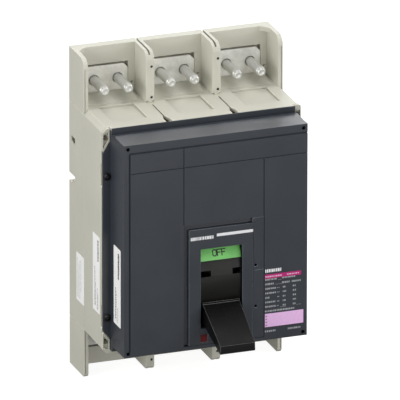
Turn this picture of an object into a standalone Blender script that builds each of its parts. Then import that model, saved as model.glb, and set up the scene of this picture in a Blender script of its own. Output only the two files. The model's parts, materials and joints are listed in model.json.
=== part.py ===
"""Three-pole moulded-case circuit breaker with a front toggle.

Frame: +X to the right of someone facing the breaker, +Y into the mounting plate, +Z up.
The origin is the centre of the rear mounting face. Dimensions below are in millimetres.
"""
import math

import bmesh
import bpy
from mathutils import Vector

MM = 0.001
GAP = 0.3                     # clearance between neighbouring pieces

# ---- driving dimensions ----
POLES = (-70.0, 0.0, 70.0)    # pole centre lines
HALF_WIDTH = 105.0
HALF_HEIGHT = 169.0
SEAM_Y = -44.5                # front edge of the rear case and of its phase barriers
FLANGE_Y = -96.0              # front plane of the beige front case
LIP_Y = -102.2                # front edge of the upper shelf
FACE_Y = -140.0               # front face of the dark cover
BACK_WALL = 10.0
OUTER_WALL = 4.5
SHELF_TOP = 115.8
SHELF_BOTTOM = -120.4
SIDE_TOP = 111.5              # the side walls stop lower than the shelf and meet it in a chamfer
SIDE_BOTTOM = -118.0
SHELL = 3.4
BARRIER_HALF = 4.2            # half thickness of the double barrier between two poles
PARTITION_HALF = 2.0
CAP_HALF = 18.9               # recess over each arc chute
CAP_FRONT = -82.4
CAP_BACK = -39.9
COVER_HALF = 96.5
COVER_WALL = 3.0
COVER_TOP = 111.0
COVER_BOTTOM = -114.1

PAD_HALF = 23.2               # terminal pad
NECK_HALF = 13.0
PAD_FRONT = -10.6
BAR = 8.0
LINE_HOLE_Z = 133.3
LOAD_HOLE_Z = -136.5
HOLE_PITCH_HALF = 12.5
HOLE_RADIUS = 5.3
STUD_RADIUS = 4.8
STUD_TIP = -45.4

SHAFT = (-46.0, 6.0)          # Y, Z of the pole shaft axis
TOGGLE = (-52.0, -50.0)       # Y, Z of the toggle axis
TOGGLE_X = 6.2                # the toggle's middle plane
APRON_RADIUS = 84.0
OPENING_HALF = 21.9
SHIELD_HALF = 23.3            # half width of the shield behind the opening's lips
OPENING_TOP = -9.0
OPENING_BOTTOM = -93.3
BUTTON = (-12.4, -103.6)      # X, Z of the trip button
TRIP_BAR = (-121.0, -91.0)    # Y, Z of the trip bar axis
ROD_CRANK = 24.0              # shaft axis to crank pin
ROD_ARM = 20.0                # toggle axis to its rod pin
HALF_SWING = 18.0             # half of the toggle's travel, degrees
SHAFT_HALF_SWING = 15.0

COVER_SCREWS = [(x, z) for x in (-92.3, 92.3) for z in (106.5, -110.2)]
FLANGE_SCREWS = [(x, z) for x in (-100.8, 100.8) for z in (65.0, -84.8)]
EAR_HOLES = [(x, z) for x in (-100.9, 100.9) for z in (104.6, -111.7)]
EAR_EDGE = {1: 92.0, -1: -102.0}   # where the upper and the lower ears begin
EAR_SLOPE = {1: 9.3, -1: 8.0}      # height of their slanted inner edge
EAR_END = {1: 115.2, -1: -123.6}

LOOKS = {  # base colour, roughness, metallic
    "beige": ((0.58, 0.56, 0.47), 0.55, 0.0),
    "dark": ((0.052, 0.058, 0.068), 0.45, 0.0),
    "black": ((0.012, 0.012, 0.012), 0.5, 0.0),
    "grey": ((0.09, 0.09, 0.085), 0.6, 0.0),
    "silver": ((0.75, 0.74, 0.70), 0.3, 1.0),
    "steel": ((0.55, 0.55, 0.56), 0.35, 1.0),
    "copper": ((0.72, 0.36, 0.2), 0.35, 1.0),
    "green": ((0.10, 0.42, 0.08), 0.5, 0.0),
    "white": ((0.82, 0.82, 0.80), 0.5, 0.0),
    "red": ((0.20, 0.012, 0.012), 0.5, 0.0),
    "resin": ((0.30, 0.10, 0.04), 0.6, 0.0),
}


# ---- shapes: each is a list of points in mm and a list of faces ----
def prism(outline, axis, low, high):
    """Extrude an outline along axis. The outline's points are the other two coordinates in XYZ order."""
    def point(pair, level):
        coords = list(pair)
        coords.insert("XYZ".index(axis), level)
        return coords
    count = len(outline)
    points = [point(p, low) for p in outline] + [point(p, high) for p in outline]
    faces = [list(range(count)), list(range(count, 2 * count))]
    for i in range(count):
        j = (i + 1) % count
        faces.append([i, j, count + j, count + i])
    return points, faces


def box(x0, x1, y0, y1, z0, z1):
    return prism([(y0, z0), (y1, z0), (y1, z1), (y0, z1)], "X", x0, x1)


def arc(centre, radius, start, end, steps):
    """Points on an arc. Angles in degrees, from the first coordinate's positive side."""
    points = []
    for i in range(steps + 1):
        angle = math.radians(start + (end - start) * i / steps)
        points.append((centre[0] + radius * math.cos(angle), centre[1] + radius * math.sin(angle)))
    return points


def round_bar(centre, radius, axis, low, high, sides=20):
    return prism(arc(centre, radius, 0, 360 - 360 / sides, sides - 1), axis, low, high)


def turned(centre, profile, axis, sides=20):
    """Solid of revolution along axis; the profile is a list of (level, radius) rings."""
    points, faces = [], []
    for level, radius in profile:
        ring = round_bar(centre, radius, axis, level, level, sides)[0][:sides]
        points += ring
    rings = len(profile)
    for k in range(rings - 1):
        for i in range(sides):
            j = (i + 1) % sides
            faces.append([k * sides + i, k * sides + j, (k + 1) * sides + j, (k + 1) * sides + i])
    faces.append(list(range(sides)))
    faces.append(list(range((rings - 1) * sides, rings * sides)))
    return points, faces


def front_arc(radius, low, high, steps, axis=TOGGLE):
    """Points (Y, Z) round the toggle axis; angles in degrees above the straight-forward direction."""
    return arc(axis, radius, 180 - low, 180 - high, steps)


def mirrored(points):
    """Close an outline about its first coordinate's zero: points run up the positive side."""
    return points + [(-a, b) for a, b in reversed(points)]


def build_mesh(name, shapes, origin=(0, 0, 0)):
    mesh = bpy.data.meshes.new(name)
    bm = bmesh.new()
    shift = Vector(origin)
    for points, faces in shapes:
        verts = [bm.verts.new((Vector(p) - shift) * MM) for p in points]
        for face in faces:
            bm.faces.new([verts[i] for i in face])
    bmesh.ops.recalc_face_normals(bm, faces=bm.faces)
    bm.to_mesh(mesh)
    bm.free()
    return mesh


def material(look):
    found = bpy.data.materials.get(look)
    if found:
        return found
    colour, roughness, metallic = LOOKS[look]
    made = bpy.data.materials.new(look)
    made.use_nodes = True
    shader = made.node_tree.nodes["Principled BSDF"]
    shader.inputs["Base Color"].default_value = (*colour, 1)
    shader.inputs["Roughness"].default_value = roughness
    shader.inputs["Metallic"].default_value = metallic
    return made


def boolean(target, operation, shapes, label):
    tool = bpy.data.objects.new(f"{target.name}_{label}", build_mesh(f"{target.name}_{label}", shapes))
    bpy.context.collection.objects.link(tool)
    tool.hide_render = True
    tool.display_type = "WIRE"
    modifier = target.modifiers.new(label, "BOOLEAN")
    modifier.operation = operation
    modifier.object = tool
    modifier.solver = "EXACT"
    modifier.use_self = True


def part(name, look, base, adds=(), cuts=(), origin=(0, 0, 0), smooth=False):
    """One named piece: a base shape, shapes joined to it and shapes cut out of it."""
    mesh = build_mesh(name, [base], origin)
    if smooth:
        mesh.shade_smooth()
        mesh.set_sharp_from_angle(angle=math.radians(35))
    piece = bpy.data.objects.new(name, mesh)
    piece.location = Vector(origin) * MM
    piece.data.materials.append(material(look))
    bpy.context.collection.objects.link(piece)
    if adds:
        boolean(piece, "UNION", adds, "add")
    if cuts:
        boolean(piece, "DIFFERENCE", cuts, "cut")
    return piece


# ---- beige cases ----
def barrier_profile(bottom=-HALF_HEIGHT, top=HALF_HEIGHT):
    """Side view of a terminal-bay wall, rounded at its upper front corner."""
    radius = 10.0
    front = [(-BACK_WALL + 1, bottom), (SEAM_Y + 3, bottom), (SEAM_Y, bottom + 3)]
    if top < HALF_HEIGHT:
        return front + [(SEAM_Y, top), (-BACK_WALL + 1, top)]
    corner = arc((SEAM_Y + radius, top - radius), radius, 180, 90, 5)
    return front + corner + [(-BACK_WALL + 1, top)]


def case_outline(inset=0.0):
    """Front view of the case body: a box whose side walls meet the shelves in chamfers."""
    half = HALF_WIDTH - inset
    slope = 0.6 * inset
    right = [(half - 3.0, SHELF_BOTTOM + inset), (half, SIDE_BOTTOM + slope),
             (half, SIDE_TOP - slope), (half - 4.5, SHELF_TOP - inset)]
    return mirrored(right)


def rear_case():
    wall_x = HALF_WIDTH - OUTER_WALL
    adds, cuts = [], []
    for side in (-1, 1):
        low, high = sorted((side * wall_x, side * HALF_WIDTH))
        adds.append(prism(barrier_profile(), "X", low, high))
        middle = side * 35.0
        adds.append(prism(barrier_profile(), "X", middle - PARTITION_HALF, middle + PARTITION_HALF))
        for bottom, top in ((SHELF_TOP - 1, HALF_HEIGHT), (-HALF_HEIGHT, SHELF_BOTTOM + 1)):
            profile = barrier_profile(bottom, top)
            adds.append(prism(profile, "X", middle - BARRIER_HALF, middle + BARRIER_HALF))
        # the double barrier's slot, open at its free end
        cuts.append(box(middle - 1, middle + 1, SEAM_Y + 2.5, 1, SHELF_TOP + 4, HALF_HEIGHT + 1))
        cuts.append(box(middle - 1, middle + 1, SEAM_Y + 2.5, 1, -HALF_HEIGHT - 1, SHELF_BOTTOM - 4))
        for level in (153.4, 120.9, -127.0, -159.0):
            cuts.append(round_bar((middle + 1.4, level), 1.5, "Y", SEAM_Y - 1, SEAM_Y + 2.3, 10))
        # web across the upper corner between the back wall and the terminal shield
        inner_x = side * (wall_x + 0.5)
        web = [(inner_x, -BACK_WALL + 1), (inner_x - side * 10, -BACK_WALL + 1),
               (inner_x - side * 5, -BACK_WALL - 3), (inner_x, -BACK_WALL - 9)]
        adds.append(prism(web, "Z", HALF_HEIGHT - 5, HALF_HEIGHT))
        # notch and slot at the rear edge of the side wall
        low, high = sorted((side * (HALF_WIDTH - 6), side * (HALF_WIDTH + 1)))
        cuts.append(prism([(1, 27), (-14, 27), (-18.5, 35.5), (1, 35.5)], "X", low, high))
        low, high = sorted((side * (HALF_WIDTH - 4.0), side * (HALF_WIDTH + 1)))
        cuts.append(prism([(-6.5, 71.2), (-17.6, 69.4), (-17.6, 76.2), (-6.5, 76.5)], "X", low, high))
        # parting groove between the terminal shield and the body
        low, high = sorted((side * (HALF_WIDTH - 0.4), side * (HALF_WIDTH + 1)))
        cuts.append(box(low, high, SEAM_Y - 1, 1, SIDE_TOP - 0.5, SIDE_TOP))
        # groove along the front edge of the terminal shield
        edge = side * (HALF_WIDTH - 1.3)
        for bottom, top in ((SIDE_TOP - 0.4, 158.0), (-HALF_HEIGHT + 4, SIDE_BOTTOM + 0.4)):
            cuts.append(box(edge - 0.35, edge + 0.35, SEAM_Y - 1, SEAM_Y + 2.2, bottom, top))
        cuts.append(box(low, high, SEAM_Y - 1, 1, SIDE_BOTTOM, SIDE_BOTTOM + 0.5))
    adds.append(box(-wall_x - 1, wall_x + 1, SEAM_Y, -BACK_WALL + 1, SHELF_TOP - SHELL, SHELF_TOP))
    adds.append(box(-wall_x - 1, wall_x + 1, SEAM_Y, -BACK_WALL + 1, SHELF_BOTTOM, SHELF_BOTTOM + SHELL))
    for pole in POLES:
        # lip that slopes from the terminal pad down to the shelf
        lip = [(-11.2, SHELF_TOP - 1), (-11.2, SHELF_TOP + 5), (-14, SHELF_TOP + 4.4),
               (-33.5, SHELF_TOP + 0.4), (-33.5, SHELF_TOP - 1)]
        adds.append(prism(lip, "X", pole - 26, pole + 26))
        pad = PAD_HALF + 0.6
        cuts.append(box(pole - pad, pole + pad, -11.1, -2.2, SHELF_TOP - 4, 149.8))
        cuts.append(box(pole - pad, pole + pad, -11.1, -2.2, -151.2, SHELF_BOTTOM + 5))
        neck = NECK_HALF + 0.6
        cuts.append(box(pole - neck, pole + neck, -11.1, -2.2, 49, SHELF_TOP - 3))
        cuts.append(box(pole - neck, pole + neck, -11.1, -2.2, SHELF_BOTTOM + 3, -99.0))
        cuts.append(box(pole - CAP_HALF, pole + CAP_HALF, SEAM_Y - 1, CAP_BACK, SHELF_TOP - 5, SHELF_TOP + 2))
        cuts.append(round_bar((pole + 27.5, 127.0), 1.1, "Y", -11, -7, 8))
        for bottom, top in ((14, 44), (-44, -14)):
            cuts.append(box(pole - 24, pole + 24, -1.2, 1, bottom, top))
        for level in (-80.0, 80.0):
            cuts.append(round_bar((pole + 27.0, level), 3.3, "Y", -BACK_WALL - 1, 1, 12))
    # passage for the pole shaft through both partitions
    cuts.append(round_bar(SHAFT, 12.0, "X", -60, 60, 16))
    base = box(-HALF_WIDTH, HALF_WIDTH, -BACK_WALL, 0, -HALF_HEIGHT, HALF_HEIGHT)
    part("rear_case", "beige", base, adds, cuts)


def front_case():
    back = SEAM_Y - GAP
    adds, cuts = [], []
    inner = case_outline(SHELL + 0.3)
    cuts.append(prism(inner, "Y", FLANGE_Y + 4.0, back + 1))
    # the flange's window, smaller than the body behind it
    window = [(-93.0, -107.5), (93.0, -107.5), (93.0, 103.0), (-93.0, 103.0)]
    cuts.append(prism(window, "Y", FLANGE_Y - 6, FLANGE_Y + 5))
    for side in (-1, 1):
        middle = side * 35.0
        adds.append(box(middle - PARTITION_HALF, middle + PARTITION_HALF, -79, back,
                        SHELF_BOTTOM + 1, SHELF_TOP - 1))
        # deep joint line between two poles, wider where it reaches the front
        for inner_z, outer_z in ((SHELF_TOP - 9, SHELF_TOP - 1), (SHELF_BOTTOM + 1, SHELF_BOTTOM + 9)):
            adds.append(box(middle - 5.5, middle + 5.5, FLANGE_Y + 3, back, inner_z, outer_z))
        groove = [(middle - 0.9, -50), (middle + 0.9, -50), (middle + 0.9, -84), (middle + 3.2, -92),
                  (middle + 3.2, FLANGE_Y - 9), (middle - 3.2, FLANGE_Y - 9), (middle - 3.2, -92),
                  (middle - 0.9, -84)]
        cuts.append(prism(groove, "Z", SHELF_TOP - 6.5, SHELF_TOP + 1))
        cuts.append(prism(groove, "Z", SHELF_BOTTOM - 1, SHELF_BOTTOM + 6.5))
    for pole in POLES:
        cuts.append(box(pole - CAP_HALF, pole + CAP_HALF, CAP_FRONT, back + 1, SHELF_TOP - 5, SHELF_TOP + 1))
    # the shelf runs on as a lip behind the cover's upper band
    adds.append(box(-COVER_HALF + 0.4, COVER_HALF - 0.4, LIP_Y, FLANGE_Y + 1, SHELF_TOP - 2.6, SHELF_TOP))
    for x, z in EAR_HOLES:
        side = 1 if x > 0 else -1
        up = 1 if z > 0 else -1
        # corner ear: a raised pad with a pocket that leaves a rim
        edge, slope, end = EAR_EDGE[up], up * EAR_SLOPE[up], EAR_END[up]
        corner = 1.4 if side > 0 else 4.3
        ear = [(side * 96.9, end), (side * (104.6 - corner), end), (side * 104.6, end - up * corner),
               (side * 104.6, edge), (side * 103.2, edge - up), (side * 96.9, edge + slope)]
        adds.append(prism(ear, "Y", FLANGE_Y - 2.4, FLANGE_Y + 2))
        pocket = [(side * 98.2, edge + slope + 1.4 * up), (side * 98.2, end - 4.1 * up),
                  (side * 103.4, end - 6.1 * up), (side * 103.4, edge + 3.0 * up)]
        cuts.append(prism(pocket, "Y", FLANGE_Y - 3, FLANGE_Y + 0.2))
        cuts.append(round_bar((x, z), 2.7, "Y", FLANGE_Y - 3, back + 1, 14))
    for x, z in COVER_SCREWS:
        cuts.append(round_bar((x, z), 1.9, "Y", FLANGE_Y - 3, FLANGE_Y + 9, 12))
    for x, z in FLANGE_SCREWS:
        cuts.append(round_bar((x, z), 2.4, "Y", FLANGE_Y - 1, FLANGE_Y + 9, 12))
        near, far = math.copysign(HALF_WIDTH - 1.6, x), math.copysign(HALF_WIDTH + 1, x)
        scallop = [(far, z - 13.5), (near, z - 10.5), (near, z + 10.5), (far, z + 13.5)]
        cuts.append(prism(scallop, "Y", FLANGE_Y - 1, FLANGE_Y + 3.0))
    cuts.append(round_bar(SHAFT, 12.0, "X", -60, 60, 16))
    base = prism(case_outline(), "Y", FLANGE_Y, back)
    part("front_case", "beige", base, adds, cuts)


# ---- dark front ----
def front_cover():
    rear, flange_front, band = FLANGE_Y - GAP, FLANGE_Y - 3.4, -103.6
    # side view: flange, band, crease and a slightly hollow top that runs out to the face
    hollow = [(-112, COVER_TOP + 0.2), (-120, COVER_TOP - 0.5), (-130, COVER_TOP - 0.6), (FACE_Y, COVER_TOP - 0.3)]
    under_lip = SHELF_TOP - 2.6 - GAP
    upper = [(rear, under_lip), (LIP_Y - GAP, under_lip), (LIP_Y - GAP, 116.3), (band, 116.3), (band, 108.6),
             (band - 1.0, 108.6), (band - 1.0, 110.4)]
    lower = [(FACE_Y, COVER_BOTTOM), (-106.3, COVER_BOTTOM - 0.4), (-106.3, -113.4), (-105.2, -113.4),
             (-105.2, -116.0), (band, -120.4), (rear, -120.4)]
    base = prism(upper + hollow + lower, "X", -COVER_HALF, COVER_HALF)
    # side flange, cut back diagonally at the four ears
    top, low = EAR_EDGE[1] - 3.0, EAR_EDGE[-1] + 3.0
    flange = mirrored([(COVER_HALF - 0.5, low - 16), (COVER_HALF - 0.5, low - 9.6), (102.9, low - 1.6),
                       (104.3, low), (104.3, top), (102.9, top + 1.6), (COVER_HALF - 0.5, top + 12.4),
                       (COVER_HALF - 0.5, top + 20)])
    inner = COVER_HALF - COVER_WALL
    cuts = [prism([(rear + 1, COVER_TOP - COVER_WALL - 0.9), (FACE_Y + COVER_WALL, COVER_TOP - COVER_WALL - 0.9),
                   (FACE_Y + COVER_WALL, COVER_BOTTOM + COVER_WALL), (rear + 1, COVER_BOTTOM + COVER_WALL)],
                  "X", -inner, inner)]
    # the toggle bezel's opening
    cuts.append(box(-33.7, 51.3, FACE_Y - 1, FACE_Y + 6, -110.6, 18.2))
    # V grooves round the upper left panel, fine grooves elsewhere
    deep, fine = (1.2, 1.3), (0.5, 0.8)
    for x, low, high, (half, depth) in ((-90.4, -112.0, 102.0, deep), (-33.7, 18.8, 102.0, fine),
                                        (50.7, 18.8, 80.0, fine)):
        outline = [(x - half, FACE_Y), (x, FACE_Y + depth), (x + half, FACE_Y), (x, FACE_Y - 1)]
        cuts.append(prism(outline, "Z", low, high))
    for z, right, (half, depth) in ((101.2, COVER_HALF + 1, deep), (80.0, COVER_HALF + 1, fine)):
        outline = [(FACE_Y, z - half), (FACE_Y + depth, z), (FACE_Y, z + half), (FACE_Y - 1, z)]
        cuts.append(prism(outline, "X", -89.9, right))
    bosses, holes = [], []
    for x, z in COVER_SCREWS:
        side, up = math.copysign(1, x), math.copysign(1, z)
        boss_x = sorted((side * 87.5, side * (inner + 1)))
        boss_z = sorted((z - up * 5.0, z + up * 3.0))
        bosses.append(box(*boss_x, FACE_Y + 1.5, rear, *boss_z))
        holes.append(turned((x, z), [(FACE_Y - 1, 2.0), (-112, 2.0), (-112, 1.5), (rear + 1, 1.5)], "Y", 12))
    for x, z in FLANGE_SCREWS:
        holes.append(round_bar((x, z), 2.3, "Y", flange_front - 1, rear + 1, 12))
    cover = part("front_cover", "dark", base, [prism(flange, "Y", flange_front, rear)], cuts)
    boolean(cover, "UNION", bosses, "bosses")
    boolean(cover, "DIFFERENCE", holes, "holes")


def toggle_bezel():
    """Escutcheon round the toggle: a raised plate in a sunk frame, with a chute behind its window."""
    base = box(-33.4, 51.0, FACE_Y + 4.0, FACE_Y + 5.6, -110.3, 17.9)
    left, right = TOGGLE_X - OPENING_HALF, TOGGLE_X + OPENING_HALF
    chute = SHIELD_HALF + 0.5
    inner_left, inner_right = TOGGLE_X - chute, TOGGLE_X + chute
    adds = [box(-28.5, 38.6, FACE_Y, FACE_Y + 4.5, -110.3, 12.9),
            box(38.5, 51.0, FACE_Y + 0.35, FACE_Y + 4.5, -110.3, 17.9),
            box(inner_left - 1.6, inner_right + 1.6, FACE_Y + 4, -127.5, OPENING_BOTTOM - 2, OPENING_TOP + 2),
            box(inner_left - 1.6, inner_left, -128, -112, -80, OPENING_TOP + 1.9),
            box(inner_right, inner_right + 1.6, -128, -112, -80, OPENING_TOP + 1.9)]
    cuts = [box(left, right, FACE_Y - 1, FACE_Y + 3, OPENING_BOTTOM, OPENING_TOP),
            box(inner_left, inner_right, FACE_Y + 2.0, -127, OPENING_BOTTOM, OPENING_TOP),
            box(40.3, 52.0, FACE_Y - 1, FACE_Y + 0.9, -37.9, -37.4)]
    x, z = BUTTON
    cuts.append(box(x - 3.4, x + 3.4, FACE_Y - 1, FACE_Y + 6, z - 3.9, z + 3.9))
    for level in (-32.7, -76.5):
        cuts.append(round_bar((42.3, level), 1.5, "Y", FACE_Y - 1, FACE_Y + 6, 12))
    part("toggle_bezel", "dark", base, adds, cuts)


def fasteners():
    for number, (x, z) in enumerate(COVER_SCREWS, 1):
        rings = [(-115.2, 0.9), (-114.2, 1.7), (-112.3, 1.7), (-112.3, 1.2), (-91.5, 1.2), (-90.5, 0.7)]
        part(f"cover_screw_{number}", "black", turned((x, z), rings, "Y", 12), smooth=True)
    for number, (x, z) in enumerate(FLANGE_SCREWS, 1):
        front = FLANGE_Y - 3.7
        rings = [(front - 2.6, 3.1), (front - 1.8, 3.9), (front, 3.9), (front, 2.0), (-89.0, 2.0), (-88.0, 1.2)]
        part(f"flange_screw_{number}", "black", turned((x, z), rings, "Y", 16), smooth=True)


# ---- terminals ----
def pad(pole, near, far):
    """Outline of a terminal pad (X, Z) with its two outer corners cut off."""
    sign, corner = math.copysign(1, far), 4.5
    return [(pole - PAD_HALF, near), (pole + PAD_HALF, near), (pole + PAD_HALF, far - sign * corner),
            (pole + PAD_HALF - corner, far), (pole - PAD_HALF + corner, far),
            (pole - PAD_HALF, far - sign * corner)]


def terminals():
    back = PAD_FRONT + BAR
    for number, pole in enumerate(POLES, 1):
        holes = {}
        for hole_z in (LINE_HOLE_Z, LOAD_HOLE_Z):
            holes[hole_z] = [round_bar((pole + s * HOLE_PITCH_HALF, hole_z), HOLE_RADIUS, "Y",
                                       PAD_FRONT - 1, back + 1, 20) for s in (-1, 1)]
        # line side: the bar runs straight down the back wall to the fixed contact
        plate = prism(pad(pole, SHELF_TOP - 3.4, 147.8), "Y", PAD_FRONT, back)
        contact = [(back, 51), (back, SHELF_TOP), (PAD_FRONT, SHELF_TOP), (PAD_FRONT, 67), (-13.4, 66),
                   (-13.4, 54), (PAD_FRONT, 52.4), (PAD_FRONT, 51)]
        part(f"line_terminal_{number}", "silver", plate,
             [prism(contact, "X", pole - NECK_HALF, pole + NECK_HALF)], holes[LINE_HOLE_Z])
        # load side: the bar steps forward to pass through the current sensor
        plate = prism(pad(pole, SHELF_BOTTOM + 4.4, -148.9), "Y", PAD_FRONT, back)
        step = [(back, -120), (back, -102), (-22, -102), (-22, -58), (-30, -58), (-30, -110),
                (PAD_FRONT, -110), (PAD_FRONT, -120)]
        part(f"load_terminal_{number}", "silver", plate,
             [prism(step, "X", pole - NECK_HALF, pole + NECK_HALF)], holes[LOAD_HOLE_Z])
        rings = [(-2.8, STUD_RADIUS), (STUD_TIP + 4.2, STUD_RADIUS), (STUD_TIP + 3.4, STUD_RADIUS - 0.7),
                 (STUD_TIP + 0.8, STUD_RADIUS - 0.7), (STUD_TIP, STUD_RADIUS - 1.5)]
        for side, s in (("left", -1), ("right", 1)):
            for end, hole_z in (("line", LINE_HOLE_Z), ("load", LOAD_HOLE_Z)):
                stud = turned((pole + s * HOLE_PITCH_HALF, hole_z), rings, "Y")
                part(f"{end}_stud_{number}_{side}", "steel", stud, smooth=True)


# ---- inside each pole ----
def pole_interiors():
    for number, pole in enumerate(POLES, 1):
        # arc chute: two cheeks that hold a stack of splitter plates
        cheeks = [box(pole + s * 17 - 1, pole + s * 17 + 1, -79, -37, 80, 111.2) for s in (-1, 1)]
        plates = [box(pole - 17, pole + 17, y, y + 1.6, 82, 109) for y in range(-77, -38, 5)]
        part(f"arc_chute_{number}", "resin", cheeks[0], cheeks[1:] + plates)
        cap = box(pole - CAP_HALF + 0.7, pole + CAP_HALF - 0.7, CAP_FRONT + 0.4, CAP_BACK - 0.7,
                  111.6, SHELF_TOP - 1.9)
        part(f"arc_chute_cap_{number}", "beige", cap)
        # current sensor: a block with a window for the load bar
        part(f"current_sensor_{number}", "black", box(pole - 22, pole + 22, -40, -12.5, -96, -70), (),
             [box(pole - 14, pole + 14, -33, -19, -97, -69)])
        # flexible braid from the load bar up to the moving contact's heel
        outline = [(-27.6, -57.2), (-27.6, -50.6), (-30.6, -43.6), (-37.6, -36.6), (-43.6, -29.6),
                   (-46.1, -20.6), (-46.6, -8.6), (-43.4, -8.6), (-42.9, -19.4), (-40.4, -28.4),
                   (-34.4, -35.4), (-27.4, -42.4), (-24.4, -49.4), (-24.4, -57.2)]
        part(f"flexible_braid_{number}", "copper", prism(outline, "X", pole - 8.5, pole + 8.5))


# ---- mechanism ----
def polar(axis, radius, lift):
    """The point at radius from axis, lift degrees above straight forward."""
    return front_arc(radius, lift, lift, 1, axis)[0]


def link_outline(start, start_radius, end, end_radius, steps=8):
    """Outline (Y, Z) of a link: two round ends joined by straight sides."""
    heading = math.degrees(math.atan2(end[1] - start[1], end[0] - start[0]))
    return (arc(start, start_radius, heading + 90, heading + 270, steps)
            + arc(end, end_radius, heading - 90, heading + 90, steps))


def turn(outline, axis, degrees):
    """Turn an outline (Y, Z) about axis, from +Y towards +Z."""
    c, s = math.cos(math.radians(degrees)), math.sin(math.radians(degrees))
    turned_points = []
    for y, z in outline:
        dy, dz = y - axis[0], z - axis[1]
        turned_points.append((axis[0] + c * dy - s * dz, axis[1] + s * dy + c * dz))
    return turned_points


CRANK_PIN = polar(SHAFT, ROD_CRANK, -SHAFT_HALF_SWING)
ROD_PIN = polar(TOGGLE, ROD_ARM, -HALF_SWING)


def mechanism_frame():
    profile = [(-110, -60), (-110, -20), (-70, -12), (-66, -34), (-46, -34), (-46, -66), (-66, -92)]
    # only the left plate reaches forward to the trip bar
    trip_bracket = [(-100, -97), (-125, -97), (-125, -86), (-112, -84)]
    for side, low, rest in (("left", TOGGLE_X - 26.0, trip_bracket), ("right", TOGGLE_X + 23.6, [(-100, -92)])):
        cuts = [round_bar(TOGGLE, 3.0 + GAP, "X", low - 1, low + 3, 16)]
        if side == "left":
            cuts.append(round_bar(TRIP_BAR, 2.0 + GAP, "X", low - 1, low + 3, 12))
        part(f"mechanism_plate_{side}", "steel", prism(profile + rest, "X", low, low + 2.0), (), cuts)
    rings = [(TOGGLE_X - 26.6, 2.4), (TOGGLE_X - 26.2, 3.0), (TOGGLE_X + 26.0, 3.0), (TOGGLE_X + 26.4, 2.4)]
    part("toggle_pin", "steel", turned(TOGGLE, rings, "X", 16), smooth=True)


def toggle():
    origin = (TOGGLE_X, *TOGGLE)
    inner, outer = APRON_RADIUS - 2.4, APRON_RADIUS
    half = OPENING_HALF - 0.7
    # apron: an arched shield on two arms, with a fine ridge below the upper plate
    shell = front_arc(outer, -46, 31.5, 22) + front_arc(inner, 31.5, -46, 22)
    ridge = front_arc(outer + 0.7, 15.4, 16.5, 1) + front_arc(outer - 1, 16.5, 15.4, 1)
    adds = [prism(ridge, "X", TOGGLE_X - SHIELD_HALF, TOGGLE_X + SHIELD_HALF)]
    for s in (-1, 1):
        low, high = sorted((TOGGLE_X + s * half, TOGGLE_X + s * (half - 2.5)))
        adds.append(prism(front_arc(inner + 1, -26, -8, 4) + front_arc(6, -8, -26, 2), "X", low, high))
        adds.append(round_bar(TOGGLE, 9.0, "X", low, high))
    # lever that drives the connecting rod
    plate = TOGGLE_X + half - 7.0
    adds.append(prism(link_outline(TOGGLE, 8.0, ROD_PIN, 5.0), "X", plate, plate + 4.6))
    adds.append(round_bar(ROD_PIN, 2.2, "X", plate - 5.5, plate + 0.5, 12))
    cuts = [round_bar(TOGGLE, 3.0 + GAP, "X", TOGGLE_X - 30, TOGGLE_X + 30, 16)]
    pocket = front_arc(outer + 1, 6.4, 10.6, 1) + front_arc(inner - 1, 10.6, 6.4, 1)
    for low, high in ((-21.8, -9.6), (13.2, 22.0)):
        cuts.append(prism(pocket, "X", TOGGLE_X + low, TOGGLE_X + high))
    base = prism(shell, "X", TOGGLE_X - SHIELD_HALF, TOGGLE_X + SHIELD_HALF)
    part("toggle_apron", "grey", base, adds, cuts, origin)
    # position plates, one above and one below the lever
    for name, look, low, high in (("off_plate", "green", 17.4, 30.5), ("on_plate", "white", -41, -32)):
        strip = front_arc(outer + 1.1, low, high, 5) + front_arc(outer + GAP, high, low, 5)
        plate_half = SHIELD_HALF - 0.4
        part(name, look, prism(strip, "X", TOGGLE_X - plate_half, TOGGLE_X + plate_half), origin=origin)
    # toggle lever: a wedge with a lip at its root, slightly narrower at its tip
    root = front_arc(outer + GAP, -25, -11.4, 6)
    blade = [(-138.0, -66.6), (-138.8, -68.4), (-185.6, -94.2), (-187.0, -95.4), (-187.8, -103.0), (-186.6, -104.2)]
    points, faces = prism(root + blade, "X", TOGGLE_X - 19.4, TOGGLE_X + 19.4)
    for point in points:
        if point[1] < -150:
            point[0] = TOGGLE_X + (point[0] - TOGGLE_X) * 0.948
    part("toggle_lever", "black", (points, faces), origin=origin)
    # inner shutter: follows the apron at half its angle and closes the window below it
    shutter = front_arc(80.6, -49, -27.5, 6) + front_arc(79.0, -27.5, -49, 6)
    arms = []
    for low in (TOGGLE_X - 18.4, TOGGLE_X + 4.8):
        arms.append(prism(front_arc(79.6, -44, -34, 2) + front_arc(5, -34, -44, 1), "X", low, low + 1.8))
        arms.append(round_bar(TOGGLE, 7.0, "X", low, low + 1.8, 16))
    part("inner_shutter", "grey", prism(shutter, "X", TOGGLE_X - half + 0.5, TOGGLE_X + half - 0.5), arms,
         [round_bar(TOGGLE, 3.0 + GAP, "X", TOGGLE_X - 20, TOGGLE_X + 20, 16)], origin)


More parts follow.
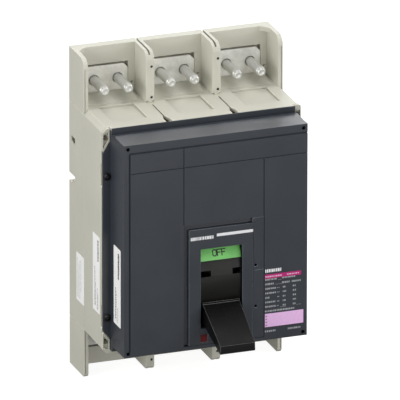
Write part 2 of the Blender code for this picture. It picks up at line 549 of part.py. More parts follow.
def contact_shaft():
    origin = (0, *SHAFT)
    adds = [prism(link_outline(SHAFT, 11.0, CRANK_PIN, 5.0), "X", 10.5, 14.5),
            round_bar(CRANK_PIN, 2.2, "X", 14.0, 20.2, 12)]
    part("pole_shaft", "steel", round_bar(SHAFT, 8.0, "X", -97, 97, 24), adds, (), origin)
    # arm and contact tip as they lie when closed, turned back to the open position
    closed = [(-54.5, 12), (-24, 67), (-17, 67), (-13.7, 65), (-13.7, 55), (-18.5, 54), (-38.5, 0)]
    arm = turn(closed, SHAFT, 2 * SHAFT_HALF_SWING)
    for number, pole in enumerate(POLES, 1):
        part(f"moving_contact_{number}", "copper", prism(arm, "X", pole - 9, pole + 9),
             [round_bar(SHAFT, 11.0, "X", pole - 9, pole + 9, 24)],
             [round_bar(SHAFT, 8.0 + GAP, "X", pole - 10, pole + 10, 24)], (pole, *SHAFT))
    # connecting rod from the crank to the toggle's lever, with clearance at the lever's pin
    part("connecting_rod", "steel", prism(link_outline(CRANK_PIN, 4.6, ROD_PIN, 5.4), "X", 16.2, 19.2), (),
         [round_bar(CRANK_PIN, 2.2 + GAP, "X", 15, 21, 12), round_bar(ROD_PIN, 2.2 + 0.6, "X", 15, 21, 12)],
         (17.7, *CRANK_PIN))


def coil(centre, radius, wire, low, high, turns, sides=6, steps=10):
    """Helical spring along Y as one closed tube."""
    points, faces = [], []
    count = turns * steps
    for i in range(count + 1):
        angle = 2 * math.pi * i / steps
        level = low + (high - low) * i / count
        for k in range(sides):
            around = 2 * math.pi * k / sides
            reach = radius + wire * math.cos(around)
            points.append([centre[0] + reach * math.cos(angle), level + wire * math.sin(around),
                           centre[1] + reach * math.sin(angle)])
    for i in range(count):
        for k in range(sides):
            j = (k + 1) % sides
            faces.append([i * sides + k, i * sides + j, (i + 1) * sides + j, (i + 1) * sides + k])
    faces.append(list(range(sides)))
    faces.append(list(range(count * sides, (count + 1) * sides)))
    return points, faces


def trip():
    x, z = BUTTON
    button = box(x - 3.1, x + 3.1, FACE_Y - 0.3, FACE_Y + 6.5, z - 3.6, z + 3.6)
    stem = turned((x, z), [(FACE_Y + 6, 1.4), (-125.2, 1.4), (-124.0, 0.8)], "Y", 12)
    part("trip_button", "red", button, [stem], (), (x, FACE_Y, z))
    part("trip_button_spring", "steel", coil(BUTTON, 2.2, 0.35, FACE_Y + 7.3, -126.5, 5), smooth=True,
         origin=(x, FACE_Y, z))
    bar = turned(TRIP_BAR, [(-60, 2.7), (-59.3, 3.4), (-21.0, 3.4), (-21.0, 2.0), (-17.9, 2.0)], "X", 16)
    arm = box(-25.0, -21.2, -123.7, -119.0, -108, -90)
    paddle = box(-24.0, -9.4, -123.7, -122.2, -108, -102.5)
    part("trip_bar", "black", bar, [arm, paddle], (), (-40, *TRIP_BAR))


def main():
    for old in list(bpy.data.objects):
        bpy.data.objects.remove(old, do_unlink=True)
    rear_case()
    front_case()
    front_cover()
    toggle_bezel()
    fasteners()
    terminals()
    pole_interiors()
    mechanism_frame()
    toggle()
    contact_shaft()
    trip()


main()
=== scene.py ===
"""Looks of the moulded-case breaker: materials, labels, screws and studio round the CAD frame."""
import json
import math
import random

import bmesh
import bpy
from mathutils import Matrix, Vector


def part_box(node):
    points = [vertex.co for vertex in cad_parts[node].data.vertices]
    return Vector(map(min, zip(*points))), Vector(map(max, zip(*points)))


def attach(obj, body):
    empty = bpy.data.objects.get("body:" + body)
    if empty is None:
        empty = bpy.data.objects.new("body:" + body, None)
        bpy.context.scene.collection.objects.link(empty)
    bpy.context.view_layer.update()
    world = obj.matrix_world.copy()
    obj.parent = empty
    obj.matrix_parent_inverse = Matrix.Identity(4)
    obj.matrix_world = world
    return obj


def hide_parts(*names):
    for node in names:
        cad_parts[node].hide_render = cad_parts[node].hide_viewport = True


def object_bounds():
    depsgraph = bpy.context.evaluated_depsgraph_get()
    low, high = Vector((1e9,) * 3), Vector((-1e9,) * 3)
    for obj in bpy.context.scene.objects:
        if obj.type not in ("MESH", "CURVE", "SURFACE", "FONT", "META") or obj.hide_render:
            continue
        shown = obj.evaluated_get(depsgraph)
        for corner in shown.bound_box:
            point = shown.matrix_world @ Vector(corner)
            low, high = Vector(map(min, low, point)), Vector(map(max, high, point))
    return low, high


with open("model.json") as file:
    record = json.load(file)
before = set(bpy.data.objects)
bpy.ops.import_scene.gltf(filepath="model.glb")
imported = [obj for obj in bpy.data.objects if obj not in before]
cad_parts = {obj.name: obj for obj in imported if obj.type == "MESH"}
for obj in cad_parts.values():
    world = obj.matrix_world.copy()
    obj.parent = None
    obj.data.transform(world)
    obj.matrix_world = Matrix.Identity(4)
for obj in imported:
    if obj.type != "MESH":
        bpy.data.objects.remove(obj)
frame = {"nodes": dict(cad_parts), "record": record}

cad_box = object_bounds()
MM = 0.001

# ---- places on the frame, worked out from the CAD nodes (mm) ----
FACE_Y = (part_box("front_cover")[0] / MM).y
SIDE_X = (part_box("rear_case")[0] / MM).x
BARRIER_Y = -44.5         # free end of the double barriers
BARRIER_HOLE_X = (-33.6, 36.4)
BARRIER_HOLE_Z = (153.4, 120.9, -127.0, -159.0)
EAR_Y = -98.4             # front of the corner ears
EAR_HOLE_X = (-100.9, 100.9)
EAR_HOLE_Z = (104.6, -111.7)
SLOT_X = 101.2            # painted shade slab in the side slots: distance from the middle, bottom edge and size
SLOT_Z = 70.4
SLOT_SIZE = (9.2, 5.6)
SLOT_REAR_LEFT = -7.4     # where each slot's painted shade slab begins: at its rear edge on the left, at its front edge on the right
SLOT_FRONT_RIGHT = -16.6  # at its front edge on the right
BEZEL_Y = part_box("toggle_bezel")[0].y / MM
COVER_SIDE = 96.5         # half width of the cover's raised part
ROW_TOP = -49.9           # first line of the printed table, and the distance between its lines
ROW_PITCH = 4.8
FLOOR_Z = cad_box[0].z
INK = 0.06                # thickness of printed marks
STICKER = 0.15            # thickness of a paper sticker
TOGGLE_AXIS = Vector((6.2, -52.0, -50.0))
PLATE_RADIUS = 85.1       # outer radius of the two position plates

CAMERA_YAW = math.radians(19.80)
CAMERA_PITCH = math.radians(20.89)
CAMERA_ROLL = 0.0015
CAMERA_LENS = 1312.0
CAMERA_DISTANCE = 14.512
CAMERA_AIM = Vector((0.0, -0.070, 0.0))
CAMERA_SLIDE = (-0.0079, -0.0156)


# ---- node helpers ----
class Nodes:
    """A short way to write one material's node tree."""

    def __init__(self, name, colour, roughness, metallic=0.0):
        self.material = bpy.data.materials.new(name)
        self.material.use_nodes = True
        self.tree = self.material.node_tree
        self.shader = self.tree.nodes["Principled BSDF"]
        self.shader.inputs["Base Color"].default_value = (*colour, 1)
        self.shader.inputs["Roughness"].default_value = roughness
        self.shader.inputs["Metallic"].default_value = metallic
        self.place = self.add("ShaderNodeTexCoord").outputs["Object"]

    def add(self, kind, **values):
        node = self.tree.nodes.new(kind)
        for key, value in values.items():
            setattr(node, key, value)
        return node

    def link(self, source, target):
        self.tree.links.new(source, target)

    def scaled(self, scale):
        node = self.add("ShaderNodeMapping")
        node.inputs["Scale"].default_value = scale
        self.link(self.place, node.inputs["Vector"])
        return node.outputs["Vector"]

    def noise(self, scale, detail=3.0, roughness=0.55, where=None):
        node = self.add("ShaderNodeTexNoise")
        node.inputs["Scale"].default_value = scale
        node.inputs["Detail"].default_value = detail
        node.inputs["Roughness"].default_value = roughness
        self.link(where or self.place, node.inputs["Vector"])
        return node.outputs["Fac"]

    def ramp(self, source, low, high, dark, light):
        node = self.add("ShaderNodeValToRGB")
        node.color_ramp.elements[0].position = low
        node.color_ramp.elements[1].position = high
        node.color_ramp.elements[0].color = (*dark, 1)
        node.color_ramp.elements[1].color = (*light, 1)
        self.link(source, node.inputs["Fac"])
        return node.outputs["Color"]

    def spread(self, source, low, high):
        node = self.add("ShaderNodeMapRange")
        node.inputs["From Min"].default_value = 0.3
        node.inputs["From Max"].default_value = 0.7
        node.inputs["To Min"].default_value = low
        node.inputs["To Max"].default_value = high
        self.link(source, node.inputs["Value"])
        return node.outputs["Result"]

    def bump(self, source, distance, strength, under=None):
        node = self.add("ShaderNodeBump")
        node.inputs["Distance"].default_value = distance * MM
        node.inputs["Strength"].default_value = strength
        self.link(source, node.inputs["Height"])
        if under:
            self.link(under, node.inputs["Normal"])
        return node.outputs["Normal"]

    def multiply(self, first, second):
        node = self.add("ShaderNodeMix", data_type="RGBA", blend_type="MULTIPLY")
        node.inputs["Factor"].default_value = 1.0
        self.link(first, node.inputs["A"])
        self.link(second, node.inputs["B"])
        return node.outputs["Result"]

    def finish(self, colour, roughness, normal):
        self.link(colour, self.shader.inputs["Base Color"])
        if roughness:
            self.link(roughness, self.shader.inputs["Roughness"])
        self.link(normal, self.shader.inputs["Normal"])
        return self.material


def tint(colour, factor):
    return tuple(min(1.0, c * factor) for c in colour)


GRAIN_SCALE = 2600.0


def moulded(name, colour, roughness, grain=0.012, variation=0.05, specular=0.5, sag=0.12, painted_corner_shade=None):
    """Moulded plastic: cloudy tone, fine specks, a spark-eroded grain and a satin that varies."""
    m = Nodes(name, colour, roughness)
    m.shader.inputs["Specular IOR Level"].default_value = specular
    cloud = m.ramp(m.noise(14.0, 4.0), 0.3, 0.7, tint(colour, 1 - variation), tint(colour, 1 + variation))
    specks = m.ramp(m.noise(1500.0, 2.0), 0.25, 0.6, (0.93, 0.93, 0.93), (1.0, 1.0, 1.0))
    colour_out = m.multiply(cloud, specks)
    if painted_corner_shade:  # painted shade: inner corners, found by pointiness, are darkened
        rise = m.add("ShaderNodeNewGeometry").outputs["Pointiness"]
        shade = m.ramp(rise, 0.48, 0.51, (painted_corner_shade, painted_corner_shade, painted_corner_shade), (1.0, 1.0, 1.0))
        colour_out = m.multiply(colour_out, shade)
    satin = m.spread(m.noise(30.0, 3.0), roughness - 0.05, roughness + 0.05)
    waves = m.bump(m.noise(22.0, 2.0), sag, 0.35)
    normal = m.bump(m.noise(GRAIN_SCALE, 2.0), grain, 0.8, waves)
    return m.finish(colour_out, satin, normal)


def plated(name, colour, roughness):
    """Silver-plated copper: mottled plating with faint rolling lines and stains."""
    m = Nodes(name, colour, roughness, 0.3)
    mottle = m.ramp(m.noise(55.0, 6.0, 0.65), 0.32, 0.68, tint(colour, 0.70), tint(colour, 1.07))
    stain = m.ramp(m.noise(18.0, 3.0), 0.35, 0.6, (0.86, 0.84, 0.78), (1.0, 1.0, 1.0))
    lines = m.noise(60.0, 3.0, 0.6, m.scaled((1.0, 1.0, 28.0)))
    rough = m.spread(m.noise(90.0, 4.0), roughness - 0.08, roughness + 0.12)
    normal = m.bump(lines, 0.02, 0.4)
    return m.finish(m.multiply(mottle, stain), rough, normal)


def turned_steel(name, colour, roughness, metallic=1.0):
    """Zinc-plated turned steel with faint lathe lines round the axis."""
    m = Nodes(name, colour, roughness, metallic)
    tone = m.ramp(m.noise(40.0, 3.0), 0.3, 0.7, tint(colour, 0.92), tint(colour, 1.05))
    lines = m.noise(500.0, 2.0, 0.5, m.scaled((0.02, 6.0, 0.02)))
    satin = m.spread(m.noise(60.0), roughness - 0.03, roughness + 0.03)
    return m.finish(tone, satin, m.bump(lines, 0.0012, 0.15))


def printed(name, colour, roughness=0.5):
    """Ink or paper: flat colour with the slight unevenness of a print."""
    m = Nodes(name, colour, roughness)
    tone = m.ramp(m.noise(300.0, 3.0), 0.3, 0.7, tint(colour, 0.95), tint(colour, 1.03))
    return m.finish(tone, m.spread(m.noise(80.0), roughness - 0.05, roughness + 0.05),
                    m.bump(m.noise(900.0), 0.01, 0.4))


def braided(name, colour):
    """Woven copper braid: crossing strands."""
    m = Nodes(name, colour, 0.4, 1.0)
    wave = m.add("ShaderNodeTexWave", wave_type="BANDS", bands_direction="DIAGONAL")
    wave.inputs["Scale"].default_value = 220.0
    wave.inputs["Distortion"].default_value = 1.5
    m.link(m.place, wave.inputs["Vector"])
    tone = m.ramp(wave.outputs["Fac"], 0.1, 0.9, tint(colour, 0.5), tint(colour, 1.15))
    return m.finish(tone, None, m.bump(wave.outputs["Fac"], 0.3, 0.8))


BEIGE = (0.60, 0.59, 0.505)
DARK = (0.0335, 0.0395, 0.0495)
LOOKS = {
    "case_beige": moulded("case_beige", BEIGE, 0.48, variation=0.035),
    "cover_dark": moulded("cover_dark", DARK, 0.35, variation=0.06, specular=0.6, sag=0.03),
    "black_plastic": moulded("black_plastic", (0.0035, 0.0035, 0.0035), 0.28, grain=0.005, variation=0.1,
                             specular=0.15),
    "shutter_plastic": moulded("shutter_plastic", (0.0085, 0.0080, 0.0065), 0.40, variation=0.1,
                               specular=0.32),
    "chute_resin": moulded("chute_resin", (0.28, 0.10, 0.04), 0.6),
    "black_steel": turned_steel("black_steel", (0.05, 0.05, 0.053), 0.30),
    "bright_steel": turned_steel("bright_steel", (0.64, 0.64, 0.615), 0.30, 0.5),
    "plated_copper": plated("plated_copper", (0.99, 0.985, 0.92), 0.42),
    "bare_copper": braided("bare_copper", (0.74, 0.38, 0.22)),
    "green_plate": printed("green_plate", (0.22, 0.70, 0.17), 0.35),
    "white_plate": printed("white_plate", (0.80, 0.80, 0.78), 0.4),
    "red_button": moulded("red_button", (0.13, 0.007, 0.007), 0.4, specular=0.3),
}
EDGE_HIGHLIGHT_LOOKS = {  # painted highlights: the bevelled edges take a lighter copy of each material, and on the beige and dark ones the inner edges are darkened again as painted shade
    "case_beige": moulded("case_beige_edge_highlight", tint(BEIGE, 1.36), 0.40, variation=0.03, painted_corner_shade=0.22),
    "cover_dark": moulded("cover_dark_edge_highlight", tint(DARK, 2.6), 0.28, grain=0.006, specular=0.9, painted_corner_shade=0.1),
    "black_plastic": moulded("black_plastic_edge_highlight", (0.055, 0.055, 0.053), 0.30, grain=0.003, specular=0.9),
}
INKS = {
    "ink_white": printed("ink_white", (0.90, 0.91, 0.92)),
    "ink_grey": printed("ink_grey", (0.40, 0.41, 0.43)),
    "ink_black": printed("ink_black", (0.015, 0.015, 0.015)),
    "ink_magenta": printed("ink_magenta", (0.53, 0.010, 0.19)),
    "ink_pink": printed("ink_pink", (0.92, 0.57, 0.92)),
    "ink_rose": printed("ink_rose", (0.80, 0.50, 0.66)),
    "ink_mauve": printed("ink_mauve", (0.42, 0.26, 0.44)),
    "ink_pale": printed("ink_pale", (0.55, 0.57, 0.60)),
    "paper": printed("paper", (0.96, 0.96, 0.94), 0.55),
    # olive_shade and slot_shade are no ink: they are painted shade for the insides of holes and slots
    "olive_shade": printed("olive_shade", (0.14, 0.13, 0.09), 0.6),
    "slot_shade": printed("slot_shade", (0.09, 0.09, 0.075), 0.7),
}


# ---- CAD nodes: new materials and softened edges ----
BEVEL_SEGMENTS = 2
BEVEL_ANGLE = math.radians(32.0)   # edges sharper than this are rounded
WELD_DISTANCE = 0.00002            # metres


def soften(piece, width, highlight_look, clamp):
    """Round a CAD piece's edges by width (mm), in a lighter look that paints a highlight on them, if there
    is one.
    """
    for polygon in piece.data.polygons:
        polygon.use_smooth = True
    weld = piece.modifiers.new("weld", "WELD")
    weld.merge_threshold = WELD_DISTANCE
    bevel = piece.modifiers.new("edges", "BEVEL")
    bevel.width = width * MM
    bevel.segments = BEVEL_SEGMENTS
    bevel.limit_method = "ANGLE"
    bevel.angle_limit = BEVEL_ANGLE
    bevel.use_clamp_overlap = clamp
    bevel.miter_outer = "MITER_ARC"
    if highlight_look:
        piece.data.materials.append(highlight_look)
        bevel.material = 1
    normals = piece.modifiers.new("normals", "WEIGHTED_NORMAL")
    normals.keep_sharp = True


EDGES = {
    "rear_case": 0.7, "front_case": 0.25, "front_cover": 0.45, "toggle_bezel": 0.5, "toggle_lever": 1.5,
    "toggle_apron": 0.5, "inner_shutter": 0.3, "off_plate": 0.12, "on_plate": 0.12, "trip_button": 0.35,
    "pole_shaft": 0.3, "connecting_rod": 0.2, "trip_bar": 0.3,
}
FREE_EDGES = ("toggle_bezel", "front_case")   # rounded in full, not held back by their shortest edges
EDGE_FAMILIES = {"arc_chute_cap": 0.5, "line_terminal": 0.4, "load_terminal": 0.4, "current_sensor": 0.6,
                 "moving_contact": 0.4, "mechanism_plate": 0.2, "line_stud": 0.25, "load_stud": 0.25}


def dress_nodes():
    slots = {item["node"]: item["material_slot"] for item in frame["record"]["subparts"]}
    for name, piece in frame["nodes"].items():
        piece.data.materials.clear()
        piece.data.materials.append(LOOKS[slots[name]])
        family = next((width for stem, width in EDGE_FAMILIES.items() if name.startswith(stem)), None)
        width = EDGES.get(name, family)
        if width:
            soften(piece, width, EDGE_HIGHLIGHT_LOOKS.get(slots[name]), name not in FREE_EDGES)


# ---- small mesh helpers (mm) ----
def new_piece(name, bm, look, body):
    bmesh.ops.recalc_face_normals(bm, faces=bm.faces)
    bmesh.ops.scale(bm, vec=(MM, MM, MM), verts=bm.verts)
    mesh = bpy.data.meshes.new(name)
    bm.to_mesh(mesh)
    bm.free()
    piece = bpy.data.objects.new(name, mesh)
    bpy.context.scene.collection.objects.link(piece)
    mesh.materials.append(look)
    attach(piece, body)
    return piece


CORNER_STEPS = 3


def add_slab(bm, origin, across, up, thickness, size, corner=0.0):
    """A thin plate on a surface: its lower left corner, its two directions, its thickness outwards."""
    width, height = size
    normal = across.cross(up)
    corner = min(corner, width / 2, height / 2)
    if corner:
        outline = []
        for cx, cy, start in ((width - corner, corner, -90), (width - corner, height - corner, 0),
                              (corner, height - corner, 90), (corner, corner, 180)):
            for i in range(CORNER_STEPS + 1):
                angle = math.radians(start + 90 * i / CORNER_STEPS)
                outline.append((cx + corner * math.cos(angle), cy + corner * math.sin(angle)))
    else:
        outline = [(0, 0), (width, 0), (width, height), (0, height)]
    low = [bm.verts.new(origin + across * a + up * b) for a, b in outline]
    high = [bm.verts.new(origin + across * a + up * b + normal * thickness) for a, b in outline]
    count = len(outline)
    bm.faces.new(low)
    bm.faces.new(high)
    for i in range(count):
        j = (i + 1) % count
        bm.faces.new([low[i], low[j], high[j], high[i]])


RIGHT, UP, BACK = Vector((1, 0, 0)), Vector((0, 0, 1)), Vector((0, 1, 0))


def front_marks(name, look, rects, lift=0.0, corner=0.0, plate=False):
    """Marks on the front face or on the bezel's raised plate, given as (x, z, width, height)."""
    bm = bmesh.new()
    face = BEZEL_Y if plate else FACE_Y
    for x, z, width, height in rects:
        add_slab(bm, Vector((x, face - lift, z)), RIGHT, UP, INK, (width, height), corner)
    new_piece(name, bm, look, "case")


def side_marks(name, look, x, rects, thickness, lift=0.0, corner=0.0):
    """Marks on the left side, given as (y of the rear edge, z, width towards the front, height)."""
    bm = bmesh.new()
    for y, z, width, height in rects:
        add_slab(bm, Vector((x - lift, y, z)), -BACK, UP, thickness, (width, height), corner)
    new_piece(name, bm, look, "case")


def words(rng, x, z, width, height, longest):
    """A line of print shown as short blocks of uneven length, with no lettering."""
    blocks, cursor = [], x
    while cursor < x + width - 0.5:
        length = min(rng.uniform(0.7, longest), x + width - cursor)
        blocks.append((cursor, z, length, height))
        cursor += length + rng.uniform(0.35, 0.7)
    return blocks


# ---- printed marks and labels ----
def face_print():
    """Stripe, tinted bands and generic lines of print on the dark front."""
    rng = random.Random(7)
    front_marks("stripe", INKS["ink_white"], [(0.9, 3.1, 38.3, 3.0)], plate=True)
    front_marks("maker_blocks", INKS["ink_white"], words(rng, -26.5, 1.4, 24.0, 3.4, 2.2), plate=True)
    front_marks("table_band", INKS["ink_magenta"], [(51.9, -48.8, 38.2, 4.4)])
    front_marks("note_band", INKS["ink_pink"], [(51.9, -100.4, 40.7, 14.2)])
    front_marks("header_blocks", INKS["ink_white"], words(rng, 52.2, -42.2, 17.4, 3.3, 2.4))
    band_blocks = words(rng, 52.3, -47.5, 17.6, 1.5, 2.0) + words(rng, 75.2, -47.2, 12.6, 1.3, 2.6)
    front_marks("band_blocks", INKS["ink_rose"], band_blocks, lift=INK)
    table = words(rng, 52.2, ROW_TOP - 0.9, 12.6, 1.8, 2.2) + words(rng, 70.0, ROW_TOP - 0.5, 14.5, 1.8, 2.4)
    second = ROW_TOP - ROW_PITCH
    table += words(rng, 52.2, second - 0.9, 9.0, 1.8, 2.2) + words(rng, 70.0, second - 0.9, 8.3, 1.8, 2.2)
    table += words(rng, 80.3, second - 0.9, 9.3, 1.8, 2.4)
    for row in range(2, 7):
        z = ROW_TOP - 0.9 - ROW_PITCH * row
        table += words(rng, 52.3, z, 5.4 if row == 4 else 11.3, 1.7, 2.0)
        table += words(rng, 65.0, z + 0.4, 2.2, 0.8, 2.2) + words(rng, 70.8, z, 3.5, 1.7, 1.6)
        table += words(rng, 81.5, z, 3.2, 1.7, 1.5)
    last = ROW_TOP - 0.9 - ROW_PITCH * 7
    table += words(rng, 52.0, last, 31.0, 1.7, 3.0)
    table += words(rng, 52.1, -105.8, 11.6, 1.8, 1.8) + words(rng, 76.3, -105.6, 13.8, 1.8, 1.8)
    front_marks("table_blocks", INKS["ink_grey"], table)
    seventh = ROW_TOP - ROW_PITCH * 6
    rules = [(65.6, ROW_TOP - 1.4, 4.0, 0.25), (63.0, second - 1.2, 6.8, 0.25),
             (68.0, seventh - 2.0, 6.6, 0.25), (85.2, seventh - 1.6, 4.8, 0.25)]
    front_marks("table_rules", INKS["ink_grey"], rules)
    notes = [(52.5, -89.6 - 3.2 * row, 1.9, 1.5) for row in range(4)]
    front_marks("note_marks", INKS["ink_mauve"], notes, lift=INK, corner=0.5)


def side_stickers():
    """Three paper stickers on the left side, with upright lines of blocks in place of their print."""
    rng = random.Random(11)
    # name, plane, rear edge, bottom, width, height, then lines of print (across, from, to, thickness)
    sheets = [
        ("case_sticker", SIDE_X, -21.6, -92.6, 22.8, 51.0, "ink_pale",
         [(3.0, 4.0, 46.0, 1.2), (6.4, 4.0, 40.0, 1.2), (9.8, 4.0, 44.0, 1.2), (13.2, 12.0, 46.0, 1.2)]),
        ("rating_sticker", SIDE_X, -71.0, -84.4, 20.6, 81.7, "ink_black",
         [(5.6, 6.0, 47.0, 1.1), (7.8, 6.0, 30.0, 0.6), (14.4, 55.0, 78.0, 2.6), (12.6, 3.0, 26.0, 0.7),
          (15.0, 3.0, 20.0, 0.7)]),
        ("cover_sticker", -COVER_SIDE, -109.3, -86.4, 20.4, 82.7, "ink_black",
         [(5.0, 6.0, 40.0, 1.1), (7.2, 4.0, 36.0, 0.6), (11.6, 3.0, 20.0, 0.8), (12.4, 50.0, 78.0, 3.0),
          (15.4, 56.0, 77.0, 0.9)]),
    ]
    for name, x, y, z, width, height, ink, lines in sheets:
        side_marks(name, INKS["paper"], x, [(y, z, width, height)], STICKER, corner=1.0)
        marks = []
        for across, start, end, thick in lines:
            for begin, _, length, _ in words(rng, z + start, 0, end - start, 0, 2.8):
                marks.append((y - across, begin, thick, length))
        side_marks(f"{name}_print", INKS[ink], x, marks, INK, STICKER)


STROKE = 0.48             # half width of a letter's stroke
STROKE_STEP = 1.2         # longest flat run of a stroke on the curved plate
FONT = {  # strokes on a grid 4 wide and 6 high
    "O": [[(0, 1), (1, 0), (3, 0), (4, 1), (4, 5), (3, 6), (1, 6), (0, 5), (0, 1)]],
    "F": [[(0, 0), (0, 6), (4, 6)], [(0, 3.2), (3.2, 3.2)]],
    "N": [[(0, 0), (0, 6), (4, 0), (4, 6)]],
}


def plate_letters(name, word, look, middle, height):
    """Letters lying on a curved position plate; middle is their height above the toggle's axis."""
    unit = height / 6
    bm = bmesh.new()
    advance = 5.1 * unit
    start = TOGGLE_AXIS.x + 0.4 - (len(word) * advance - 1.1 * unit) / 2

    def on_plate(x, z, out):
        angle = math.asin(max(-1.0, min(1.0, z / PLATE_RADIUS)))
        reach = PLATE_RADIUS + out
        return Vector((x, TOGGLE_AXIS.y - reach * math.cos(angle), TOGGLE_AXIS.z + reach * math.sin(angle)))

    def ring(point, side):
        return [bm.verts.new(on_plate(spot.x, spot.y, out))
                for spot, out in ((point - side, -0.05), (point + side, -0.05), (point + side, INK),
                                  (point - side, INK))]

    for number, letter in enumerate(word):
        corner = Vector((start + number * advance, middle - height / 2))
        for line in FONT[letter]:
            for first, last in zip(line, line[1:]):
                first, last = corner + Vector(first) * unit, corner + Vector(last) * unit
                along = (last - first).normalized() * STROKE
                side = Vector((-along.y, along.x))
                first, last = first - along, last + along
                steps = math.ceil((last - first).length / STROKE_STEP)
                rings = [ring(first.lerp(last, i / steps), side) for i in range(steps + 1)]
                bm.faces.new(rings[0])
                bm.faces.new(rings[-1])
                for low, high in zip(rings, rings[1:]):
                    for i in range(4):
                        j = (i + 1) % 4
                        bm.faces.new([low[i], low[j], high[j], high[i]])
    new_piece(name, bm, look, "toggle")


# ---- turned pieces that replace plain CAD ones ----
def node_box(node):
    return [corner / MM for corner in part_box(node)]


SOCKET_SIDES = 6
TURNED_ANGLE = math.radians(35)    # smooth shading below this angle


def turned_piece(name, node, look_slot, outline, sides, socket=None):
    """A smooth turned piece where its CAD node is; outline holds (distance behind the front, radius) pairs.

    The first pair is the centre of the front end. socket is the radius of the rings that are six-sided.
    """
    low, high = node_box(node)
    centre = (low + high) / 2
    bm = bmesh.new()
    rings = []
    for depth, radius in outline[1:]:
        points = []
        for i in range(sides):
            angle = 2 * math.pi * i / sides
            reach = radius
            if radius == socket:
                half = math.pi / SOCKET_SIDES
                within = (angle + half) % (2 * half) - half
                reach = radius * math.cos(half) / math.cos(within)
            points.append(bm.verts.new((centre.x + reach * math.cos(angle), low.y + depth,
                                        centre.z + reach * math.sin(angle))))
        rings.append(points)
    tip = bm.verts.new((centre.x, low.y + outline[0][0], centre.z))
    for i in range(sides):
        j = (i + 1) % sides
        bm.faces.new([tip, rings[0][i], rings[0][j]])
        for first, second in zip(rings, rings[1:]):
            bm.faces.new([first[i], first[j], second[j], second[i]])
    bm.faces.new(rings[-1])
    piece = new_piece(name, bm, LOOKS[look_slot], "case")
    for polygon in piece.data.polygons:
        polygon.use_smooth = True
    piece.data.set_sharp_from_angle(angle=TURNED_ANGLE)
    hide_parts(node)


def flange_screws():
    """Rounded heads with a six-sided socket, on a washer."""
    head, washer, shank, socket = 3.6, 4.0, 2.0, 1.7
    for number in range(1, 5):
        node = f"flange_screw_{number}"
        low, high = node_box(node)
        length = high.y - low.y
        outline = [(2.0, 0.0), (1.6, socket), (0.0, socket), (0.0, 2.9), (0.25, 3.4), (0.8, head),
                   (1.7, head), (1.8, washer), (2.5, washer), (2.6, shank), (length - 1.0, shank),
                   (length, 1.2)]
        turned_piece(f"flange_screw_with_socket_{number}", node, "black_steel", outline, 24, socket)


def studs():
    """Terminal studs with a turned-down tip, its rim and a shallow centre."""
    for node in sorted(frame["nodes"]):
        if "_stud_" not in node:
            continue
        low, high = node_box(node)
        length = high.y - low.y
        outline = [(0.4, 0.0), (0.35, 2.2), (0.0, 2.7), (0.0, 3.3), (0.3, 3.8), (0.8, 4.1), (2.9, 4.2),
                   (3.5, 4.75), (length, 4.75)]
        turned_piece(f"turned_{node}", node, "bright_steel", outline, 40)


PLUG_LENGTH = 1.3
BARRIER_HOLE_SHADE = (0.85, 1.38)  # depth of the painted shade plug in the hole, and its radius
EAR_HOLE_SHADE = (1.2, 2.25)


def hole_shade_plugs(name, look, places, front, radius):
    """Short dark round plugs deep in small holes, one for each (x, z): painted shade for the holes' depth.
    """
    for number, (x, z) in enumerate(places, 1):
        bm = bmesh.new()
        middle = Matrix.Translation((x, front + PLUG_LENGTH / 2, z))
        bmesh.ops.create_cone(bm, cap_ends=True, segments=16, radius1=radius, radius2=radius,
                              depth=PLUG_LENGTH, matrix=middle @ Matrix.Rotation(math.pi / 2, 4, "X"))
        new_piece(f"{name}_{number}", bm, look, "case")


def hollows():
    """Painted shade: dark plugs in the holes of the barriers and ears, and dark slabs in the slots of the
    sides.
    """
    barriers = [(x, z) for x in BARRIER_HOLE_X for z in BARRIER_HOLE_Z]
    depth, radius = BARRIER_HOLE_SHADE
    hole_shade_plugs("barrier_hole_shade", INKS["ink_black"], barriers, BARRIER_Y + depth, radius)
    ears = [(x, z) for x in EAR_HOLE_X for z in EAR_HOLE_Z]
    depth, radius = EAR_HOLE_SHADE
    hole_shade_plugs("ear_hole_shade", INKS["olive_shade"], ears, EAR_Y + depth, radius)
    for side in (-1, 1):
        bm = bmesh.new()
        origin = Vector((side * SLOT_X, SLOT_FRONT_RIGHT if side > 0 else SLOT_REAR_LEFT, SLOT_Z))
        add_slab(bm, origin, BACK * side, UP, 3.0, SLOT_SIZE, 0.4)
        new_piece(f"side_slot_shade_{'right' if side > 0 else 'left'}", bm, INKS["slot_shade"], "case")


# ---- studio ----
WORLD_LIGHT = 0.26
LAMPS = {  # place in metres, size, power
    "left": ((-1.3, -0.4, 0.45), (0.9, 0.9), 12.2),
    "left_front": ((-1.1, -1.3, 0.5), (0.5, 0.5), 1.5),
    "top": ((-0.25, 0.0, 1.5), (0.9, 0.9), 4.0),
    "front": ((0.1, -1.8, 0.1), (1.1, 0.9), 8.6),
    "right": ((1.5, -0.7, 0.8), (0.9, 0.9), 16.0),
    "back": ((0.50, 1.5, 0.95), (1.6, 0.9), 12.0),
    "above": ((0.35, 0.25, 1.6), (1.5, 0.6), 7.0),
}


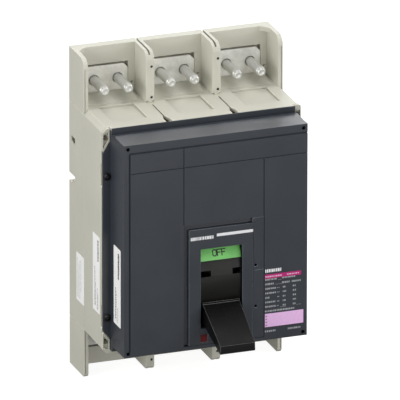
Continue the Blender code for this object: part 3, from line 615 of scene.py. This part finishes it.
def studio():
    scene = bpy.context.scene
    world = bpy.data.worlds.new("studio")
    scene.world = world
    world.use_nodes = True
    backdrop = world.node_tree.nodes["Background"]
    backdrop.inputs["Color"].default_value = (1.0, 1.0, 1.0, 1)
    backdrop.inputs["Strength"].default_value = WORLD_LIGHT

    bm = bmesh.new()
    bmesh.ops.create_grid(bm, x_segments=1, y_segments=1, size=30.0)
    mesh = bpy.data.meshes.new("floor")
    bm.to_mesh(mesh)
    bm.free()
    floor = bpy.data.objects.new("floor", mesh)
    floor.location = (0, 0, FLOOR_Z - 0.0002)
    scene.collection.objects.link(floor)
    pale = Nodes("pale_floor", (0.30, 0.30, 0.30), 0.9)
    pale.shader.inputs["Specular IOR Level"].default_value = 0.1
    pale.shader.inputs["Emission Color"].default_value = (1, 1, 1, 1)
    pale.shader.inputs["Emission Strength"].default_value = 0.9
    mesh.materials.append(pale.material)
    floor.visible_glossy = False
    floor.visible_diffuse = False

    for name, (place, size, power) in LAMPS.items():
        light = bpy.data.lights.new(name, "AREA")
        light.shape = "RECTANGLE"
        light.size, light.size_y = size
        light.energy = power
        lamp = bpy.data.objects.new(name, light)
        lamp.location = place
        lamp.rotation_euler = (CAMERA_AIM - Vector(place)).to_track_quat("-Z", "Y").to_euler()
        lamp.visible_camera = False
        scene.collection.objects.link(lamp)
    scene.view_settings.view_transform = "Standard"


def camera():
    flat = math.cos(CAMERA_PITCH)
    forward = Vector((math.sin(CAMERA_YAW) * flat, math.cos(CAMERA_YAW) * flat, -math.sin(CAMERA_PITCH)))
    level = forward.cross(Vector((0, 0, 1))).normalized()
    above = level.cross(forward)
    right = level * math.cos(CAMERA_ROLL) + above * math.sin(CAMERA_ROLL)
    up = above * math.cos(CAMERA_ROLL) - level * math.sin(CAMERA_ROLL)
    data = bpy.data.cameras.new("camera")
    data.lens = CAMERA_LENS
    data.sensor_width = 36.0
    data.clip_start, data.clip_end = 1.0, 100.0
    camera_object = bpy.data.objects.new("camera", data)
    spot = CAMERA_AIM - forward * CAMERA_DISTANCE - right * CAMERA_SLIDE[0] - up * CAMERA_SLIDE[1]
    turn = Matrix((right, up, -forward)).transposed().to_4x4()
    camera_object.matrix_world = Matrix.Translation(spot) @ turn
    bpy.context.scene.collection.objects.link(camera_object)
    bpy.context.scene.camera = camera_object


def main():
    dress_nodes()
    face_print()
    side_stickers()
    plate_letters("off_word", "OFF", INKS["ink_black"], 32.2, 5.6)
    plate_letters("on_word", "ON", INKS["ink_black"], -50.6, 4.7)
    flange_screws()
    studs()
    hollows()
    studio()
    camera()


main()
